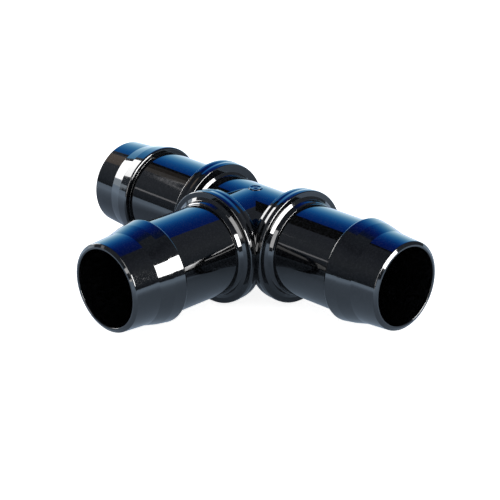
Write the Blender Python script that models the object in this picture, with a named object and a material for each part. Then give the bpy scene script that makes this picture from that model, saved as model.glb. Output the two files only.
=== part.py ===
"""Barbed tee connector for 25 mm (1 in) hose.

A hollow body, whose three collars merge at the corners beside the branch, holds three barbed hose
tails. Each tail is a spigot that sits in a short socket inside its collar.

The run lies along X and the branch points along -Y. The origin is on the surface that the fitting
rests on, under the middle of its bounding box.
"""
from math import cos, pi, radians

import bmesh
import bpy
from mathutils import Matrix, Vector

MM = 0.001

# A ring of facets stands for each round surface. One facet faces straight down, so the part rests on flats.
SEGMENTS = 48
FACET_ANGLE = 2 * pi / SEGMENTS
FLAT_FACTOR = cos(FACET_ANGLE / 2)
CREASE_ANGLE = radians(28)
MERGE_DISTANCE = 0.001 * MM

# Radii
BORE_RADIUS = 10.5 * MM
STEM_RADIUS = 12.5 * MM
HUB_RADIUS = 12.35 * MM
COLLAR_RADIUS = 15.55 * MM
HUB_CHAMFER_RADIUS = 13.1 * MM
BOSS_ROOT_RADIUS = 14.05 * MM
BOSS_STEP_RADIUS = 13.35 * MM
BOSS_END_RADIUS = 13.15 * MM
BARB_RADIUS = 14.0 * MM
BARB_WAIST_RADIUS = 13.4 * MM
NOSE_ROOT_RADIUS = 12.4 * MM
NOSE_TIP_RADIUS = 11.85 * MM
LIP_RADIUS = 11.2 * MM

# Distances from the crossing of the three axes, along an arm
HUB_CHAMFER_START = 12.4 * MM
COLLAR_BACK = 12.9 * MM
COLLAR_FRONT = 17.1 * MM
BOSS_STEP = 17.65 * MM
BOSS_END = 18.95 * MM
SOCKET_FLOOR = 14.5 * MM
BARB_EDGE = 38.1 * MM
BARB_WAIST = 42.0 * MM
NOSE_ROOT = 46.1 * MM
NOSE_TIP = 53.2 * MM
MOUTH = 54.0 * MM

# Small edges and clearances
COLLAR_EDGE = 0.25 * MM
BARB_LAND = 0.3 * MM
MOUTH_CHAMFER = 0.25 * MM
JOINT_GAP = 0.3 * MM
# The branch's tube and bore are this much smaller than the run's, so that no two facets coincide.
CROSSING_STEP = 0.05 * MM
# A cutter passes the end of the body by this much.
CUTTER_OVERRUN = 5 * MM

# The crossing of the axes, in the part's frame
AXIS_HEIGHT = COLLAR_RADIUS * FLAT_FACTOR
AXIS_OFFSET = (MOUTH - COLLAR_RADIUS * FLAT_FACTOR) / 2

# The direction of each arm, as a turn about Z from +X
ARM_TURNS = {"right": 0.0, "left": pi, "branch": -pi / 2}

PLASTIC_COLOUR = (0.012, 0.013, 0.017, 1.0)
PLASTIC_ROUGHNESS = 0.16


def clear_scene():
    for old in list(bpy.data.objects):
        bpy.data.objects.remove(old, do_unlink=True)


def plastic(name):
    material = bpy.data.materials.new(name)
    material.use_nodes = True
    shader = material.node_tree.nodes["Principled BSDF"]
    shader.inputs["Base Color"].default_value = PLASTIC_COLOUR
    shader.inputs["Roughness"].default_value = PLASTIC_ROUGHNESS
    shader.inputs["Metallic"].default_value = 0.0
    return material


def turned_mesh(name, outline):
    """Spin a closed outline of (distance along X, radius) points about X, with a facet facing down."""
    bm = bmesh.new()
    tilt = Matrix.Rotation(FACET_ANGLE / 2, 4, "X")
    verts = [bm.verts.new(tilt @ Vector((along, 0, radius))) for along, radius in outline]
    edges = [bm.edges.new((verts[i - 1], verts[i])) for i in range(len(verts))]
    bmesh.ops.spin(
        bm,
        geom=verts + edges,
        axis=(1, 0, 0),
        cent=(0, 0, 0),
        angle=2 * pi,
        steps=SEGMENTS,
        use_merge=True,
    )
    bmesh.ops.remove_doubles(bm, verts=bm.verts, dist=MERGE_DISTANCE)
    bmesh.ops.recalc_face_normals(bm, faces=bm.faces)
    mesh = bpy.data.meshes.new(name)
    bm.to_mesh(mesh)
    bm.free()
    mesh.shade_smooth()
    mesh.set_sharp_from_angle(angle=CREASE_ANGLE)
    return mesh


def collar_outline():
    """The outer side of one collar and its stepped boss, from the hub outwards."""
    return [
        (COLLAR_BACK, COLLAR_RADIUS - COLLAR_EDGE),
        (COLLAR_BACK + COLLAR_EDGE, COLLAR_RADIUS),
        (COLLAR_FRONT - COLLAR_EDGE, COLLAR_RADIUS),
        (COLLAR_FRONT, COLLAR_RADIUS - COLLAR_EDGE),
        (COLLAR_FRONT, BOSS_ROOT_RADIUS),
        (BOSS_STEP, BOSS_STEP_RADIUS),
        (BOSS_END, BOSS_END_RADIUS),
    ]


def hub_end_outline(tube):
    """The end of the hub's tube, with the small chamfer up to the collar's back face."""
    return [(HUB_CHAMFER_START, tube), (COLLAR_BACK, HUB_CHAMFER_RADIUS)]


def run_outline():
    """The solid run: the hub's tube with a collar and boss at each end."""
    right = hub_end_outline(HUB_RADIUS) + collar_outline() + [(BOSS_END, 0)]
    left = [(-along, radius) for along, radius in reversed(right)]
    return left + right


def branch_outline():
    """The solid branch, which starts inside the run."""
    tube = HUB_RADIUS - CROSSING_STEP
    return [(0, 0), (0, tube)] + hub_end_outline(tube) + collar_outline() + [(BOSS_END, 0)]


def run_core_outline():
    """The run's bore, with a socket for a tail at each end."""
    end = BOSS_END + CUTTER_OVERRUN
    socket = STEM_RADIUS + JOINT_GAP
    right = [(SOCKET_FLOOR, BORE_RADIUS), (SOCKET_FLOOR, socket), (end, socket), (end, 0)]
    left = [(-along, radius) for along, radius in reversed(right)]
    return left + right


def branch_core_outline():
    """The branch's bore and socket, which start inside the run's bore."""
    end = BOSS_END + CUTTER_OVERRUN
    bore = BORE_RADIUS - CROSSING_STEP
    socket = STEM_RADIUS + JOINT_GAP
    return [(0, 0), (0, bore), (SOCKET_FLOOR, bore), (SOCKET_FLOOR, socket), (end, socket), (end, 0)]


def tail_outline():
    """The wall of one hose tail: stem, barb, nose and lip outside, and the bore inside."""
    return [
        (SOCKET_FLOOR + JOINT_GAP, BORE_RADIUS),
        (SOCKET_FLOOR + JOINT_GAP, STEM_RADIUS),
        (BARB_EDGE, STEM_RADIUS),
        (BARB_EDGE, BARB_RADIUS - BARB_LAND),
        (BARB_EDGE + BARB_LAND, BARB_RADIUS),
        (BARB_WAIST, BARB_WAIST_RADIUS),
        (NOSE_ROOT, NOSE_ROOT_RADIUS),
        (NOSE_TIP, NOSE_TIP_RADIUS),
        (MOUTH, LIP_RADIUS),
        (MOUTH, BORE_RADIUS + MOUTH_CHAMFER),
        (MOUTH - MOUTH_CHAMFER, BORE_RADIUS),
    ]


def add_object(name, mesh, parent, turn=0.0):
    """Place a turned mesh with its axis along an arm."""
    obj = bpy.data.objects.new(name, mesh)
    bpy.context.scene.collection.objects.link(obj)
    obj.parent = parent
    obj.rotation_euler = (0, 0, turn)
    return obj


def add_tool(name, outline, parent, turn=0.0):
    """A hidden solid that a Boolean reads."""
    tool = add_object(name, turned_mesh(name, outline), parent, turn)
    tool.hide_render = True
    tool.display_type = "WIRE"
    return tool


def add_boolean(obj, operation, tool):
    modifier = obj.modifiers.new(tool.name, "BOOLEAN")
    modifier.operation = operation
    modifier.solver = "EXACT"
    modifier.object = tool


def add_tee_body(parent):
    """The hollow hub with its three collars, bosses and sockets."""
    body = add_object("tee_body", turned_mesh("tee_body", run_outline()), parent)
    branch_turn = ARM_TURNS["branch"]
    branch = add_tool("branch_blank", branch_outline(), parent, branch_turn)
    run_core = add_tool("run_core", run_core_outline(), parent)
    branch_core = add_tool("branch_core", branch_core_outline(), parent, branch_turn)
    add_boolean(body, "UNION", branch)
    add_boolean(body, "DIFFERENCE", run_core)
    add_boolean(body, "DIFFERENCE", branch_core)
    body.data.materials.append(plastic("tee_body_plastic"))


def add_hose_tail(side, turn, parent):
    """A barbed tube, pushed into the socket of its collar."""
    name = "hose_tail_" + side
    tail = add_object(name, turned_mesh(name, tail_outline()), parent, turn)
    tail.data.materials.append(plastic(name + "_plastic"))


def main():
    clear_scene()
    crossing = bpy.data.objects.new("axes_crossing", None)
    bpy.context.scene.collection.objects.link(crossing)
    crossing.location = (0, AXIS_OFFSET, AXIS_HEIGHT)
    add_tee_body(crossing)
    for side, turn in ARM_TURNS.items():
        add_hose_tail(side, turn, crossing)


main()
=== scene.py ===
"""Looks of the barbed tee connector: glossy black moulded plastic in a studio of curved light panels."""
from math import atan2, cos, hypot, pi, radians, sin, tan

import bmesh
import bpy
from mathutils import Matrix, Vector


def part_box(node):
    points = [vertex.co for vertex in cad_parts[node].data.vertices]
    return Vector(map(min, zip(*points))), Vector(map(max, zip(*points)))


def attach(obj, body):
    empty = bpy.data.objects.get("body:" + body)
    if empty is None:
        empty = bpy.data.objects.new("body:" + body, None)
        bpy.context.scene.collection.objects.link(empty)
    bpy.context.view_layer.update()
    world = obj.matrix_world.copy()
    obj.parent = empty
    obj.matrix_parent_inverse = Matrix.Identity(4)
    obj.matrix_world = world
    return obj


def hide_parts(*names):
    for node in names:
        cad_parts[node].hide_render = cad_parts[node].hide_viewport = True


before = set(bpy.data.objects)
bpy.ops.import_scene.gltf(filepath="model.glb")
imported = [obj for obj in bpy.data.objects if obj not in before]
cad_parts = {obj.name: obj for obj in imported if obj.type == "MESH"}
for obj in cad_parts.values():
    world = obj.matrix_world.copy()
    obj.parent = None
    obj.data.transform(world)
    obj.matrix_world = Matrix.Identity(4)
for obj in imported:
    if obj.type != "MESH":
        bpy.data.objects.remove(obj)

MM = 0.001
UP = Vector((0, 0, 1))
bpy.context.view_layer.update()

# ---------------------------------------------------------------------------------------------
# Sizes. Distances run along an arm from the crossing of the three axes.
# ---------------------------------------------------------------------------------------------
RIGHT_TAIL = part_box("hose_tail_right")
CROSSING = Vector((0, (RIGHT_TAIL[0].y + RIGHT_TAIL[1].y) / 2, (RIGHT_TAIL[0].z + RIGHT_TAIL[1].z) / 2))
MOUTH = RIGHT_TAIL[1].x

BORE_RADIUS = 10.5 * MM
STEM_RADIUS = 12.5 * MM
HUB_RADIUS = 12.35 * MM
HUB_CHAMFER_RADIUS = 13.1 * MM
COLLAR_BACK_RADIUS = 15.26 * MM
COLLAR_FIRST_CREST_RADIUS = 15.48 * MM
COLLAR_DIP_RADIUS = 15.41 * MM
COLLAR_SECOND_CREST_RADIUS = 15.62 * MM
COLLAR_FRONT_RADIUS = 15.52 * MM
BOSS_ROOT_RADIUS = 14.03 * MM
BOSS_STEP_RADIUS = 13.2 * MM
BOSS_RIM_RADIUS = 12.87 * MM
BOSS_END_RADIUS = 12.58 * MM
BARB_RADIUS = 14.0 * MM
BARB_WAIST_RADIUS = 13.4 * MM
NOSE_ROOT_RADIUS = 12.4 * MM
NOSE_TIP_RADIUS = 11.9 * MM
LIP_RADIUS = 11.0 * MM

COLLAR_BACK = 12.9 * MM
HUB_CHAMFER_START = COLLAR_BACK - 0.5 * MM
COLLAR_FIRST_CREST = 14.1 * MM
SOCKET_FLOOR = 14.5 * MM
COLLAR_DIP = 14.9 * MM
COLLAR_SECOND_CREST = 16.0 * MM
COLLAR_FRONT = 17.1 * MM
BOSS_STEP = 17.65 * MM
BOSS_RIM = 18.6 * MM
BOSS_END = 18.95 * MM
BARB_EDGE = 38.1 * MM
BARB_WAIST = 42.0 * MM
NOSE_ROOT = 46.1 * MM
NOSE_TIP = MOUTH - 0.5 * MM

# The tails sit in their sockets with this much room.
SEAT_GAP = 0.02 * MM
SEAT_FILLET = 0.05 * MM
END_FILLET = 0.1 * MM
# The branch's tube is this much smaller than the run's, so that no two faces coincide.
CROSSING_STEP = 0.01 * MM
# The branch's solid starts this far along its axis, inside the run.
BRANCH_START = 0.5 * MM
# A cutter passes the end of the body by this much.
CUTTER_OVERRUN = 5 * MM

# The gate mark's section, in mm: (radius, height over the hub's top), from its middle to its hidden foot.
GATE_PROFILE = [(0.0, 0.16), (0.4, 0.14), (0.6, 0.02), (1.2, 0.02), (1.35, 0.1), (1.5, 0.2), (1.75, 0.22),
                (1.95, 0.12), (2.1, -0.02), (2.1, -0.4), (0.0, -0.4)]
GATE_SEGMENTS = 64
GATE_CREASE_ANGLE = radians(50)

# ---------------------------------------------------------------------------------------------
# Turned shapes
# ---------------------------------------------------------------------------------------------
SEGMENTS = 192
ARC_STEPS = 5
FLAT_STEP = 2.0 * MM
# A fillet takes at most this share of each of its two flats.
FLAT_SHARE = 0.45
NORMAL_LAYER = "surface_normal"
# A shorter vector in the layer isn't a normal: the Boolean has made that corner itself.
SHORTEST_NORMAL = 0.5


def finished_mesh(name, bm):
    mesh = bpy.data.meshes.new(name)
    bm.to_mesh(mesh)
    bm.free()
    return mesh


def link(name, mesh, material):
    piece = bpy.data.objects.new(name, mesh)
    bpy.context.scene.collection.objects.link(piece)
    mesh.materials.clear()
    mesh.materials.append(material)
    return piece


def unit(a, b):
    """The direction from one outline point to another, and how far it is."""
    along, radius = b[0] - a[0], b[1] - a[1]
    length = hypot(along, radius)
    return (along / length, radius / length), length


def filleted(corners):
    """Round the corners of a closed outline.

    A corner is (distance along the arm, radius, fillet). The outside is on the left of the way round. The
    result is a list of (distance, radius, normal along, normal outwards).
    """
    points = []
    for i, corner in enumerate(corners):
        before, after = corners[i - 1], corners[(i + 1) % len(corners)]
        way_in, length_in = unit(before, corner)
        way_out, length_out = unit(corner, after)
        turn = atan2(way_in[0] * way_out[1] - way_in[1] * way_out[0],
                     way_in[0] * way_out[0] + way_in[1] * way_out[1])
        slope = tan(abs(turn) / 2)
        cut = min(corner[2] * slope, FLAT_SHARE * length_in, FLAT_SHARE * length_out)
        fillet = cut / slope
        side = 1 if turn < 0 else -1
        start = (corner[0] - way_in[0] * cut, corner[1] - way_in[1] * cut)
        centre = (start[0] + side * way_in[1] * fillet, start[1] - side * way_in[0] * fillet)
        heading = atan2(way_in[1], way_in[0])
        for step in range(ARC_STEPS + 1):
            normal = heading + turn * step / ARC_STEPS + pi / 2
            points.append((centre[0] + side * fillet * cos(normal), centre[1] + side * fillet * sin(normal),
                           cos(normal), sin(normal)))
    return points


def with_flats_divided(points, closed):
    """Add points along the straight stretches of an outline."""
    divided = [] if closed else [points[0]]
    for i in range(0 if closed else 1, len(points)):
        before, point = points[i - 1], points[i]
        pieces = max(1, round(hypot(point[0] - before[0], point[1] - before[1]) / FLAT_STEP))
        for step in range(1, pieces):
            share = step / pieces
            divided.append(tuple(a + (b - a) * share for a, b in zip(before, point)))
        divided.append(point)
    return divided


def open_outline(corners):
    """Round the corners of an outline, except its first and last points, which stay sharp on flat ends."""
    kept = filleted(corners)[ARC_STEPS + 1:-(ARC_STEPS + 1)]
    first = (*corners[0][:2], -1.0, 0.0)
    last = (*corners[-1][:2], 1.0, 0.0)
    return with_flats_divided([first] + kept + [last], closed=False)


def arm_frame(arm):
    """The arm's direction, and the level direction square to it."""
    along = {"right": Vector((1, 0, 0)), "left": Vector((-1, 0, 0)), "branch": Vector((0, -1, 0))}[arm]
    return along, UP.cross(along)


def turned_rings(bm, points, arm, phase):
    """A ring of vertices for each point of an outline, and the surface's normal at each vertex."""
    along, level = arm_frame(arm)
    rings = []
    normals = {}
    for distance, radius, normal_along, normal_out in points:
        ring = []
        for step in range(SEGMENTS):
            angle = 2 * pi * (step + phase) / SEGMENTS
            out = level * cos(angle) + UP * sin(angle)
            vert = bm.verts.new(CROSSING + along * distance + out * radius)
            normals[vert] = along * normal_along + out * normal_out
            ring.append(vert)
        rings.append(ring)
    return rings, normals


def join_rings(bm, rings, closed):
    """Skin a row of rings. An open row ends in flat discs."""
    for i in range(0 if closed else 1, len(rings)):
        a, b = rings[i - 1], rings[i]
        for step in range(SEGMENTS):
            following = (step + 1) % SEGMENTS
            bm.faces.new((a[step], b[step], b[following], a[following]))
    if not closed:
        bm.faces.new(rings[0])
        bm.faces.new(reversed(rings[-1]))
    bmesh.ops.recalc_face_normals(bm, faces=bm.faces)


def turned_mesh(name, points, arm, phase=0.0, closed=True):
    """Turn an outline about an arm, and keep the outline's normals in a layer of the mesh."""
    bm = bmesh.new()
    layer = bm.loops.layers.float_vector.new(NORMAL_LAYER)
    rings, normals = turned_rings(bm, points, arm, phase)
    join_rings(bm, rings, closed)
    for face in bm.faces:
        face.smooth = True
        for loop in face.loops:
            loop[layer] = normals[loop.vert] if len(face.verts) == 4 else face.normal
    return finished_mesh(name, bm)


def shade_by_layer(mesh):
    """Use the normals that the outlines gave, also where a Boolean has cut or turned a face over."""
    kept = mesh.attributes[NORMAL_LAYER].data
    normals = []
    for polygon in mesh.polygons:
        for loop in polygon.loop_indices:
            normal = Vector(kept[loop].vector)
            if normal.length < SHORTEST_NORMAL:
                normal = polygon.normal.copy()
            if normal.dot(polygon.normal) < 0:
                normal.negate()
            normals.append(normal.normalized())
    mesh.attributes.remove(mesh.attributes[NORMAL_LAYER])
    mesh.normals_split_custom_set(normals)


# ---------------------------------------------------------------------------------------------
# The tee
# ---------------------------------------------------------------------------------------------
def mirrored(corners):
    """The same outline on the other side of the crossing, in the order that continues the way round."""
    return [(-corner[0], *corner[1:]) for corner in reversed(corners)]


def arm_corners(tube):
    """One arm of the body, from the hub outwards.

    It has the hub's small chamfer, the collar with its two low beads, and the stepped boss in front of it.
    """
    return [
        (HUB_CHAMFER_START, tube, 0.15 * MM),
        (COLLAR_BACK, HUB_CHAMFER_RADIUS, 0.12 * MM),
        (COLLAR_BACK, COLLAR_BACK_RADIUS, 0.25 * MM),
        (COLLAR_FIRST_CREST, COLLAR_FIRST_CREST_RADIUS, 2.0 * MM),
        (COLLAR_DIP, COLLAR_DIP_RADIUS, 0.5 * MM),
        (COLLAR_SECOND_CREST, COLLAR_SECOND_CREST_RADIUS, 2.0 * MM),
        (COLLAR_FRONT, COLLAR_FRONT_RADIUS, 0.35 * MM),
        (COLLAR_FRONT, BOSS_ROOT_RADIUS, 0.12 * MM),
        (BOSS_STEP, BOSS_STEP_RADIUS, 0.25 * MM),
        (BOSS_RIM, BOSS_RIM_RADIUS, 0.2 * MM),
        (BOSS_END, BOSS_END_RADIUS, END_FILLET),
        (BOSS_END, BORE_RADIUS, END_FILLET),
    ]


def run_points():
    right = arm_corners(HUB_RADIUS)
    return open_outline(mirrored(right) + right)


def branch_points():
    tube = HUB_RADIUS - CROSSING_STEP
    start = [(BRANCH_START, BORE_RADIUS, END_FILLET), (BRANCH_START, tube, END_FILLET)]
    return open_outline(start + arm_corners(tube))


def tail_corners():
    """The wall of one hose tail: stem, barb, nose and lip outside, and the bore inside."""
    start = SOCKET_FLOOR + SEAT_GAP
    return [
        (start, BORE_RADIUS, SEAT_FILLET),
        (start, STEM_RADIUS, SEAT_FILLET),
        (BARB_EDGE, STEM_RADIUS, 0.08 * MM),
        (BARB_EDGE, BARB_RADIUS, 0.6 * MM),
        (BARB_WAIST, BARB_WAIST_RADIUS, 0.8 * MM),
        (NOSE_ROOT, NOSE_ROOT_RADIUS, 0.5 * MM),
        (NOSE_TIP, NOSE_TIP_RADIUS, 0.35 * MM),
        (MOUTH, LIP_RADIUS, 0.3 * MM),
        (MOUTH, BORE_RADIUS, 0.22 * MM),
    ]


def core_corners():
    """One end of a bore with its socket, as a solid to cut with."""
    socket = STEM_RADIUS + SEAT_GAP
    end = BOSS_END + CUTTER_OVERRUN
    return [(SOCKET_FLOOR, BORE_RADIUS), (SOCKET_FLOOR, socket), (end, socket)]


def branch_core_corners():
    bore = BORE_RADIUS - CROSSING_STEP
    return [(0, bore), (SOCKET_FLOOR, bore)] + core_corners()[1:]


def sharp_points(corners):
    """An open outline with sharp corners: each corner is there twice, with the normals of its two flats."""
    points = []
    for a, b in zip(corners, corners[1:]):
        way, _ = unit(a, b)
        points += [(*a, -way[1], way[0]), (*b, -way[1], way[0])]
    return points


def body_tools():
    """What is joined to the run or cut out of it, in order."""
    run_core = sharp_points(mirrored(core_corners()) + core_corners())
    branch_core = sharp_points(branch_core_corners())
    return [
        ("UNION", turned_mesh("branch_blank", branch_points(), "branch", 0.5, closed=False)),
        ("DIFFERENCE", turned_mesh("run_core", run_core, "right", 0.25, closed=False)),
        ("DIFFERENCE", turned_mesh("branch_core", branch_core, "branch", 0.75, closed=False)),
    ]


def make_body(material):
    """Hub and collars as one moulding: the run, the branch, then their bores."""
    body = link("tee_moulding", turned_mesh("tee_moulding", run_points(), "right", closed=False), material)
    tools = []
    for operation, mesh in body_tools():
        tool = link(mesh.name, mesh, material)
        modifier = body.modifiers.new(tool.name, "BOOLEAN")
        modifier.operation = operation
        modifier.solver = "EXACT"
        modifier.object = tool
        tools.append(tool)
    bpy.context.view_layer.update()
    graph = bpy.context.evaluated_depsgraph_get()
    mesh = bpy.data.meshes.new_from_object(body.evaluated_get(graph))
    body.modifiers.clear()
    body.data = mesh
    for tool in tools:
        bpy.data.objects.remove(tool, do_unlink=True)
    shade_by_layer(mesh)
    return body


def make_tail(arm, material):
    name = "hose_barb_" + arm
    mesh = turned_mesh(name, with_flats_divided(filleted(tail_corners()), closed=True), arm)
    shade_by_layer(mesh)
    return link(name, mesh, material)


def hub_height(x, y):
    """How high the hub's top is over the axes, near the crossing. In front, the branch's tube counts too."""
    run = (HUB_RADIUS ** 2 - y ** 2) ** 0.5
    branch = (HUB_RADIUS ** 2 - x ** 2) ** 0.5
    return max(run, branch) if y < 0 else run


def gate_rings(bm):
    """The gate mark's rings, laid over the hub's top. A ring of radius 0 is one vertex."""
    rings = []
    for radius, height in GATE_PROFILE:
        ring = []
        for step in range(GATE_SEGMENTS if radius else 1):
            angle = 2 * pi * step / GATE_SEGMENTS
            x, y = radius * MM * cos(angle), radius * MM * sin(angle)
            ring.append(bm.verts.new(CROSSING + Vector((x, y, hub_height(x, y) + height * MM))))
        rings.append(ring)
    return rings


def make_gate_mark(material):
    """The round gate mark on top of the hub: a raised rim round a low dimple. It carries no sign."""
    bm = bmesh.new()
    rings = gate_rings(bm)
    for a, b in zip(rings, rings[1:]):
        for step in range(GATE_SEGMENTS):
            following = (step + 1) % GATE_SEGMENTS
            corners = [a[step % len(a)], b[step % len(b)], b[following % len(b)], a[following % len(a)]]
            bm.faces.new(list(dict.fromkeys(corners)))
    bmesh.ops.recalc_face_normals(bm, faces=bm.faces)
    mesh = finished_mesh("gate_mark", bm)
    mesh.shade_smooth()
    mesh.set_sharp_from_angle(angle=GATE_CREASE_ANGLE)
    return link("gate_mark", mesh, material)


# ---------------------------------------------------------------------------------------------
# Plastic
# ---------------------------------------------------------------------------------------------
PLASTIC_IOR = 1.5
# Each noise is (scale, detail), in object space.
SPECKLE_NOISE = (1800, 4)
SPECKLE_STOPS = [(0.45, (0.0006, 0.0007, 0.0009, 1)), (0.75, (0.006, 0.0065, 0.008, 1))]
HAZE_NOISE = (900, 6)
HAZE_NOISE_RANGE = (0.3, 0.7)
HAZE_ROUGHNESS = (0.035, 0.085)
# Each bump is (noise, strength, height): the orange peel, then the fine grain on it.
BUMPS = [((260, 2), 0.25, 0.02 * MM), ((2600, 3), 0.1, 0.002 * MM)]


def noise(tree, place, scale_and_detail):
    node = tree.nodes.new("ShaderNodeTexNoise")
    node.inputs["Scale"].default_value = scale_and_detail[0]
    node.inputs["Detail"].default_value = scale_and_detail[1]
    tree.links.new(place.outputs["Object"], node.inputs["Vector"])
    return node.outputs["Fac"]


def add_speckle(tree, place, shader):
    ramp = tree.nodes.new("ShaderNodeValToRGB")
    for element, (position, colour) in zip(ramp.color_ramp.elements, SPECKLE_STOPS):
        element.position = position
        element.color = colour
    tree.links.new(noise(tree, place, SPECKLE_NOISE), ramp.inputs["Fac"])
    tree.links.new(ramp.outputs["Color"], shader.inputs["Base Color"])


def add_haze(tree, place, shader):
    haze = tree.nodes.new("ShaderNodeMapRange")
    haze.inputs["From Min"].default_value = HAZE_NOISE_RANGE[0]
    haze.inputs["From Max"].default_value = HAZE_NOISE_RANGE[1]
    haze.inputs["To Min"].default_value = HAZE_ROUGHNESS[0]
    haze.inputs["To Max"].default_value = HAZE_ROUGHNESS[1]
    tree.links.new(noise(tree, place, HAZE_NOISE), haze.inputs["Value"])
    tree.links.new(haze.outputs["Result"], shader.inputs["Roughness"])


def add_bumps(tree, place, shader):
    below = None
    for scale_and_detail, strength, height in BUMPS:
        bump = tree.nodes.new("ShaderNodeBump")
        bump.inputs["Strength"].default_value = strength
        bump.inputs["Distance"].default_value = height
        tree.links.new(noise(tree, place, scale_and_detail), bump.inputs["Height"])
        if below:
            tree.links.new(below.outputs["Normal"], bump.inputs["Normal"])
        below = bump
    tree.links.new(below.outputs["Normal"], shader.inputs["Normal"])


def black_plastic():
    """Glossy black polypropylene: deep black, with a faint speckle, a fine haze and a slight orange peel."""
    material = bpy.data.materials.new("black_plastic")
    material.use_nodes = True
    tree = material.node_tree
    shader = tree.nodes["Principled BSDF"]
    shader.inputs["IOR"].default_value = PLASTIC_IOR
    place = tree.nodes.new("ShaderNodeTexCoord")
    add_speckle(tree, place, shader)
    add_haze(tree, place, shader)
    add_bumps(tree, place, shader)
    return material


# ---------------------------------------------------------------------------------------------
# Light panels, for reflections only
# ---------------------------------------------------------------------------------------------
STUDIO_RADIUS = 3.0
COLUMN_DEGREES = 2

# Colours are stops of (elevation, colour). A panel of one colour has one stop.
WHITE = [(0, (1.0, 1.0, 1.0))]
BROWN = [(0, (0.9, 0.75, 0.65))]
DARK_BROWN = [(0, (0.2, 0.17, 0.15))]
BLACK = [(0, (0.02, 0.02, 0.02))]
NEAR_BLACK = [(0, (0.03, 0.03, 0.03))]
PALE_BLUE = [(0, (2.0, 2.3, 2.6))]
THIN_WHITE = [(0, (2.5, 2.5, 2.6))]
BAR_WHITE = [(0, (2.2, 2.2, 2.3))]
PALE_BROWN = [(43, (0.55, 0.5, 0.46)), (52, (0.35, 0.35, 0.37))]
SHELL = [(-2, (0.1, 0.12, 0.15)), (10, (0.2, 0.24, 0.3)), (30, (0.32, 0.36, 0.42)), (50, (0.24, 0.27, 0.34)),
         (62, (0.15, 0.17, 0.22)), (80, (0.2, 0.24, 0.3))]
BLUE = [(-5, (1.3, 1.7, 1.9)), (5, (1.1, 1.7, 2.1)), (12, (0.8, 1.5, 2.15)), (22, (0.3, 1.1, 2.1)),
        (32, (0.065, 0.65, 2.0)), (42, (0.012, 0.3, 1.55)), (52, (0.01, 0.11, 1.1)), (60, (0.015, 0.08, 0.8)),
        (66, (0.03, 0.08, 0.4)), (72, (0.06, 0.11, 0.33))]

# A panel is (name, azimuths of its first upright edge at its lower and upper end, the same of its second
# edge, lower and upper elevation, colours, strength, distance as a share of STUDIO_RADIUS).
PANELS = [
    ("shell", (-180, -180), (180, 180), (-6, 89.9), SHELL, 1.0, 1.3),
    ("softbox_blue", (86, 90), (168, 165), (-5, 72), BLUE, 1.0, 1.1),
    ("softbox_right", (-14, -20), (26, 29), (11, 37), WHITE, 45.0, 1.0),
    ("softbox_left", (172, 172), (201, 199), (8, 24), WHITE, 13.0, 1.0),
    ("softbox_left_top", (172, 172), (199, 190), (24, 32), WHITE, 13.0, 1.0),
    ("brown_above_left", (174, 176), (197, 194), (32, 42), BROWN, 1.0, 1.0),
    ("low_left", (188, 188), (207, 207), (-3, 8), PALE_BLUE, 1.0, 1.0),
    ("softbox_front", (-95, -95), (-68, -70), (8, 45), WHITE, 8.0, 1.0),
    ("low_front", (-86, -86), (-74, -74), (-2, 8), WHITE, 7.0, 1.0),
    ("flag", (164, 164), (171, 171), (36, 60), BLACK, 1.0, 1.0),
    ("brown_gap", (171, 171), (183, 183), (42, 47), DARK_BROWN, 1.0, 1.0),
    ("flag_above", (171, 171), (197, 197), (47, 56), NEAR_BLACK, 1.0, 1.0),
    ("pale_upper_left", (183, 183), (196, 194), (43, 47), PALE_BROWN, 1.0, 1.0),
    ("thin_left", (-140.5, -168.5), (-139.5, -167.5), (33, 45), THIN_WHITE, 1.0, 0.98),
    ("bar_left", (-142, -142), (-126, -126), (14.5, 17), BAR_WHITE, 1.0, 1.0),
]


def compass(azimuth, elevation):
    """A direction. Azimuth runs from +X towards +Y, and elevation is above the horizon, in degrees."""
    a, e = radians(azimuth), radians(elevation)
    return Vector((cos(a) * cos(e), sin(a) * cos(e), sin(e)))


def between(a, b, share):
    return a + (b - a) * share


def blend_stops(stops, where):
    """The colour at a place, from stops of (place, colour)."""
    if where <= stops[0][0]:
        return stops[0][1]
    for low, high in zip(stops, stops[1:]):
        if where <= high[0]:
            share = (where - low[0]) / (high[0] - low[0])
            return tuple(between(a, b, share) for a, b in zip(low[1], high[1]))
    return stops[-1][1]


def glow(name, strength):
    """Light of the colour that the panel's points carry."""
    material = bpy.data.materials.new(name)
    material.use_nodes = True
    tree = material.node_tree
    tree.nodes.clear()
    emission = tree.nodes.new("ShaderNodeEmission")
    emission.inputs["Strength"].default_value = strength
    output = tree.nodes.new("ShaderNodeOutputMaterial")
    tree.links.new(emission.outputs["Emission"], output.inputs["Surface"])
    colour = tree.nodes.new("ShaderNodeVertexColor")
    colour.layer_name = "glow"
    tree.links.new(colour.outputs["Color"], emission.inputs["Color"])
    return material


def panel_mesh(name, first, second, elevations, stops, distance):
    """A grid on a sphere round the object. The colour follows the elevation."""
    width = max(abs(second[0] - first[0]), abs(second[1] - first[1]))
    columns = max(2, int(width / COLUMN_DEGREES))
    rows = max(2, int(elevations[1] - elevations[0]))
    bm = bmesh.new()
    layer = bm.verts.layers.float_color.new("glow")
    grid = []
    for row in range(rows + 1):
        share = row / rows
        elevation = between(elevations[0], elevations[1], share)
        start, end = between(first[0], first[1], share), between(second[0], second[1], share)
        line = []
        for column in range(columns + 1):
            azimuth = start + (end - start) * column / columns
            vert = bm.verts.new(CROSSING + compass(azimuth, elevation) * distance)
            vert[layer] = (*blend_stops(stops, elevation), 1.0)
            line.append(vert)
        grid.append(line)
    for low, high in zip(grid, grid[1:]):
        for column in range(columns):
            bm.faces.new((low[column], low[column + 1], high[column + 1], high[column]))
    return finished_mesh(name, bm)


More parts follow.
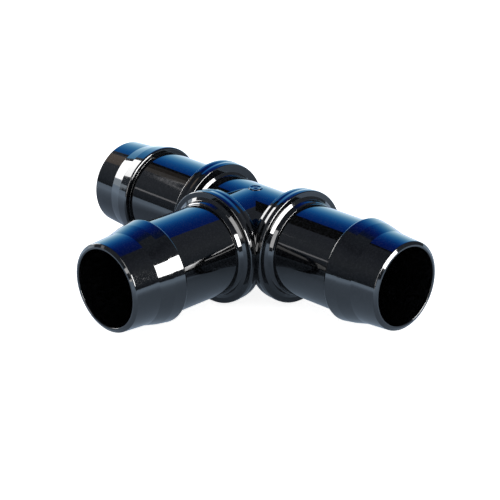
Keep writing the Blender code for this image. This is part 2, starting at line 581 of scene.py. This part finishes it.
def make_panels():
    for name, first, second, elevations, stops, strength, reach in PANELS:
        mesh = panel_mesh(name, first, second, elevations, stops, STUDIO_RADIUS * reach)
        panel = link(name, mesh, glow(name, strength))
        panel.visible_camera = False
        panel.visible_diffuse = False
        panel.visible_shadow = False
        panel.visible_transmission = False


# ---------------------------------------------------------------------------------------------
# Floor and world
# ---------------------------------------------------------------------------------------------
FLOOR_RADIUS = 2.9
FLOOR_SEGMENTS = 96
SHOWN_FLOOR_HEIGHT = -0.3 * MM
SHOWN_FLOOR_COLOUR = (0.8, 0.8, 0.8)
SHOWN_FLOOR_LIGHT = (0.85, 0.85, 0.85)
MIRRORED_FLOOR_HEIGHT = -0.15 * MM
# The floor that the gloss mirrors is a darker, bluish copy of the pale floor, as painted shade, and it glows
# with painted light.
MIRRORED_FLOOR_SHADED_COLOUR = (0.4, 0.5, 0.65)
MIRRORED_FLOOR_PAINTED_GLOW = (0.72, 0.92, 1.15)
# The mirrored floor's painted light, its own glow standing in for how the studio light falls on it, rises
# over these distances, in metres, by this much: (start, end, rise).
FRONT = compass(-45, 0)
RISE_TO_FRONT = (-0.03, 0.09, 0.9)
RISE_AWAY = (0.07, 0.16, 1.2)


def matt(name, colour, emission):
    material = bpy.data.materials.new(name)
    material.use_nodes = True
    shader = material.node_tree.nodes["Principled BSDF"]
    shader.inputs["Base Color"].default_value = (*colour, 1)
    shader.inputs["Roughness"].default_value = 1.0
    shader.inputs["Specular IOR Level"].default_value = 0.0
    shader.inputs["Emission Color"].default_value = (*emission, 1)
    shader.inputs["Emission Strength"].default_value = 1.0
    return material


def painted_glow_towards_front(material):
    """Paint light into a floor: its own glow rises towards the front and towards the horizon, and stays dim
    near the object and behind it, as painted shade.
    """
    tree = material.node_tree
    place = tree.nodes.new("ShaderNodeTexCoord")
    ahead = tree.nodes.new("ShaderNodeVectorMath")
    ahead.operation = "DOT_PRODUCT"
    ahead.inputs[1].default_value = FRONT
    away = tree.nodes.new("ShaderNodeVectorMath")
    away.operation = "LENGTH"
    total = tree.nodes.new("ShaderNodeMath")
    total.operation = "ADD"
    for socket, node, (start, end, level) in ((0, ahead, RISE_TO_FRONT), (1, away, RISE_AWAY)):
        tree.links.new(place.outputs["Object"], node.inputs[0])
        rise = tree.nodes.new("ShaderNodeMapRange")
        rise.inputs["From Min"].default_value = start
        rise.inputs["From Max"].default_value = end
        rise.inputs["To Max"].default_value = level
        tree.links.new(node.outputs["Value"], rise.inputs["Value"])
        tree.links.new(rise.outputs["Result"], total.inputs[socket])
    shader = tree.nodes["Principled BSDF"]
    tree.links.new(total.outputs["Value"], shader.inputs["Emission Strength"])


def floor_disc(name, material, height):
    bm = bmesh.new()
    bmesh.ops.create_circle(bm, cap_ends=True, radius=FLOOR_RADIUS, segments=FLOOR_SEGMENTS)
    floor = link(name, finished_mesh(name, bm), material)
    floor.location.z = height
    floor.visible_diffuse = False
    return floor


def make_floors():
    """The pale floor that the camera sees, and the darker one that the gloss mirrors: a cool, bluish copy
    with painted shade and a painted glow.
    """
    shown = floor_disc("floor", matt("floor", SHOWN_FLOOR_COLOUR, SHOWN_FLOOR_LIGHT), SHOWN_FLOOR_HEIGHT)
    shown.visible_glossy = False
    # Painted shade and painted light: a darker copy of the floor whose glow rises towards the front and far
    # off.
    shaded_copy = matt("floor_in_reflections", MIRRORED_FLOOR_SHADED_COLOUR, MIRRORED_FLOOR_PAINTED_GLOW)
    painted_glow_towards_front(shaded_copy)
    mirrored_floor = floor_disc("floor_in_reflections", shaded_copy, MIRRORED_FLOOR_HEIGHT)
    mirrored_floor.visible_camera = False
    mirrored_floor.visible_shadow = False


def make_studio():
    bpy.context.scene.view_settings.view_transform = "Standard"
    world = bpy.data.worlds.new("studio")
    world.use_nodes = True
    world.node_tree.nodes["Background"].inputs["Color"].default_value = (1, 1, 1, 1)
    bpy.context.scene.world = world
    make_floors()
    make_panels()


# ---------------------------------------------------------------------------------------------
# Camera
# ---------------------------------------------------------------------------------------------
VIEW_AZIMUTH = radians(45.7445)
VIEW_ELEVATION = radians(23.1609)
VIEW_ROLL = radians(0.7358)
VIEW_DISTANCE = 498.7 * MM
VIEW_TARGET = CROSSING + Vector((0.295, -2.742, -4.967)) * MM
LENS = 131.7
SENSOR_WIDTH = 36
CLIP_START = 0.01
CLIP_END = 50


def make_camera():
    data = bpy.data.cameras.new("camera")
    data.lens = LENS
    data.sensor_width = SENSOR_WIDTH
    data.clip_start = CLIP_START
    data.clip_end = CLIP_END
    camera = bpy.data.objects.new("camera", data)
    bpy.context.scene.collection.objects.link(camera)
    level = cos(VIEW_ELEVATION)
    back = Vector((sin(VIEW_AZIMUTH) * level, -cos(VIEW_AZIMUTH) * level, sin(VIEW_ELEVATION)))
    camera.location = VIEW_TARGET + back * VIEW_DISTANCE
    turn = (-back).to_track_quat("-Z", "Y").to_matrix()
    camera.rotation_euler = (turn @ Matrix.Rotation(-VIEW_ROLL, 3, "Z")).to_euler()
    bpy.context.scene.camera = camera


plastic = black_plastic()
make_camera()
make_studio()
pieces = {"tee_body": make_body(plastic)}
for arm in ("right", "left", "branch"):
    pieces["hose_tail_" + arm] = make_tail(arm, plastic)
mark = make_gate_mark(plastic)
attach(mark, "root")
for node, piece in pieces.items():
    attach(piece, "root")
    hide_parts(node)
